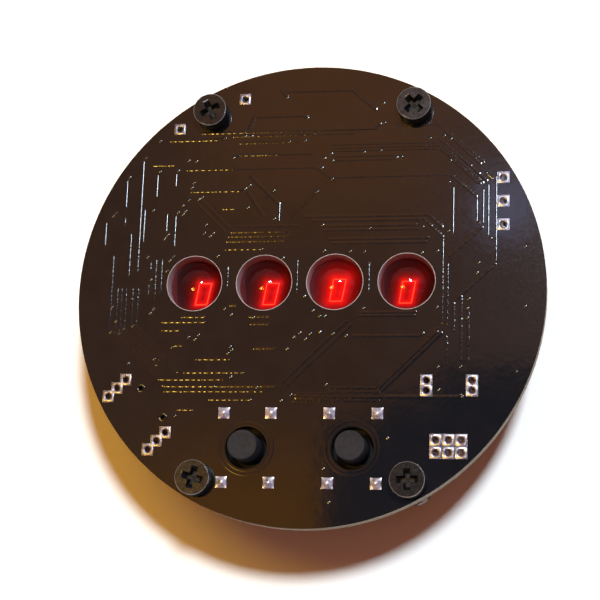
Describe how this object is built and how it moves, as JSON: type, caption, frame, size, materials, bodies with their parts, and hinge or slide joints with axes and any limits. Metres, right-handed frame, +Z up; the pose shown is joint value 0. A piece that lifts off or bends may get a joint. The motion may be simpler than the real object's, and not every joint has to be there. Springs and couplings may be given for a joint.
{
  "type": "digital watch",
  "caption": "Caseless digital watch: round circuit board face with domed red digit displays in round windows, push buttons, corner screws, and a rear board with a coin cell.",
  "frame": {"origin": "centre of the underside, at the lowest face of the cell clip", "axes": "+Z up through the watch face, +Y towards twelve o'clock, +X towards three o'clock"},
  "size_m": [0.045, 0.045, 0.0122],
  "materials": {
    "mask": "glossy black solder mask on glass epoxy",
    "tin": "bright tinned copper",
    "solder": "bright solder",
    "epoxy": "clear deep red cast epoxy",
    "lit_chip": "lit strokes of the display chip",
    "switch_moulding": "moulded",
    "sheet_steel": "tinned sheet steel",
    "spring_steel": "rolled spring steel",
    "plunger_moulding": "moulded, fine satin",
    "black_screw": "black oxide, satin",
    "nickel_brass": "nickel-plated brass, turned",
    "gold_plate": "gold flash on brass",
    "cell_steel": "nickel-plated steel",
    "seal": "moulded",
    "cell_filling": "pressed powder",
    "chip_moulding": "moulded, fine matt",
    "crystal_can": "drawn can",
    "resistor": "glazed thick film",
    "capacitor": "moulded epoxy"
  },
  "bodies": {
    "root": {"face_board": "mask", "header_pads": "tin", "solder_joints": "solder", "digit_body_1": "epoxy", "digit_body_2": "epoxy", "digit_body_3": "epoxy", "digit_body_4": "epoxy", "digit_leads_1": "tin", "digit_leads_2": "tin", "digit_leads_3": "tin", "digit_leads_4": "tin", "digit_strokes_1": "lit_chip", "digit_strokes_2": "lit_chip", "digit_strokes_3": "lit_chip", "digit_strokes_4": "lit_chip", "left_switch_base": "switch_moulding", "right_switch_base": "switch_moulding", "left_switch_cover": "sheet_steel", "right_switch_cover": "sheet_steel", "left_switch_dome": "spring_steel", "right_switch_dome": "spring_steel", "left_switch_leads": "tin", "right_switch_leads": "tin", "face_screws": "black_screw", "spacers": "nickel_brass", "rear_board": "mask", "cell_clip": "spring_steel", "cell_contact": "gold_plate", "microcontroller": "chip_moulding", "microcontroller_leads": "tin", "clock_crystal": "crystal_can", "crystal_leads": "tin", "segment_resistors": "resistor", "resistor_ends": "tin", "digit_transistors": "chip_moulding", "transistor_leads": "tin", "connector_socket": "chip_moulding", "connector_header": "chip_moulding", "connector_pins": "gold_plate", "supply_capacitors": "capacitor", "capacitor_ends": "tin", "polarity_diode": "chip_moulding", "diode_ends": "tin"},
    "left_button": {"left_plunger": "plunger_moulding"},
    "right_button": {"right_plunger": "plunger_moulding"},
    "coin_cell": {"cell_can": "cell_steel", "cell_cap": "cell_steel", "cell_seal": "seal", "cell_filling": "cell_filling"}
  },
  "joints": [
    {"name": "left_button_press", "type": "slide", "parent": "root", "child": "left_button", "axis": [0, 0, -1], "range_m": [0, 0.00025], "stiffness_N_per_m": 4000, "springref_m": -0.00015},
    {"name": "right_button_press", "type": "slide", "parent": "root", "child": "right_button", "axis": [0, 0, -1], "range_m": [0, 0.00025], "stiffness_N_per_m": 4000, "springref_m": -0.00015},
    {"name": "coin_cell_slide", "type": "slide", "parent": "root", "child": "coin_cell", "axis": [1, 0, 0], "range_m": [0, 0.022]}
  ]
}
